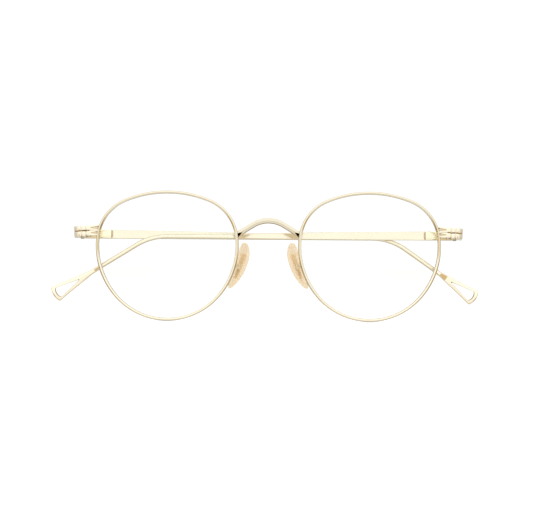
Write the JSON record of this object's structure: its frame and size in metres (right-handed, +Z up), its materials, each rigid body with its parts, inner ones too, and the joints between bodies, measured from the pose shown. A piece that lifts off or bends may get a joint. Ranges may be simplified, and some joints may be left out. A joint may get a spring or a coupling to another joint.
{
  "type": "eyeglasses",
  "caption": "Round metal eyeglasses with clear lenses, split endpieces, adjustable nose pads and flat hinged temples that end in open paddle tips, shown folded.",
  "frame": {"origin": "middle of the bridge, on the line through both lens centres and on the front plane", "axes": "+X towards the wearer's left, +Y back from the front towards the wearer, +Z up"},
  "size_m": [0.1468, 0.0145, 0.0444],
  "materials": {
    "gold_metal": "polished pale gold plating",
    "satin_gold": "satin pale gold plating",
    "screw_metal": "gold-tinted steel",
    "lug_metal": "bare brass",
    "lens": "clear",
    "pad_amber": "translucent amber"
  },
  "bodies": {
    "front": {"rim_left": "gold_metal", "rim_right": "gold_metal", "lens_left": "lens", "lens_right": "lens", "bridge": "gold_metal", "endpiece_upper_left": "gold_metal", "endpiece_upper_right": "gold_metal", "endpiece_lower_left": "gold_metal", "endpiece_lower_right": "gold_metal", "rim_screw_left": "screw_metal", "rim_screw_right": "screw_metal", "hinge_screw_left": "screw_metal", "hinge_screw_right": "screw_metal", "pad_arm_left": "gold_metal", "pad_arm_right": "gold_metal", "pad_box_left": "gold_metal", "pad_box_right": "gold_metal", "pad_screw_left": "screw_metal", "pad_screw_right": "screw_metal"},
    "temple_left": {"temple_left": "gold_metal", "temple_hinge_left": "satin_gold"},
    "temple_right": {"temple_right": "gold_metal", "temple_hinge_right": "satin_gold"},
    "pad_left": {"nose_pad_left": "pad_amber", "pad_lug_left": "lug_metal"},
    "pad_right": {"nose_pad_right": "pad_amber", "pad_lug_right": "lug_metal"}
  },
  "joints": [
    {"name": "temple_left_hinge", "type": "hinge", "parent": "front", "child": "temple_left", "pos_m": [0.0638, 0.00906, 0.00765], "axis": [0, -0.0872, -0.9962], "range_deg": [0, 93.4]},
    {"name": "temple_right_hinge", "type": "hinge", "parent": "front", "child": "temple_right", "pos_m": [-0.0638, 0.00906, 0.00765], "axis": [0, 0.0872, 0.9962], "range_deg": [0, 91.6]},
    {"name": "pad_left_rock", "type": "hinge", "parent": "front", "child": "pad_left", "pos_m": [0.01048, 0.00361, -0.00327], "axis": [0.4713, 0.866, 0.1669], "range_deg": [-8, 8]},
    {"name": "pad_right_rock", "type": "hinge", "parent": "front", "child": "pad_right", "pos_m": [-0.01048, 0.00361, -0.00327], "axis": [-0.4713, 0.866, 0.1669], "range_deg": [-8, 8]}
  ]
}
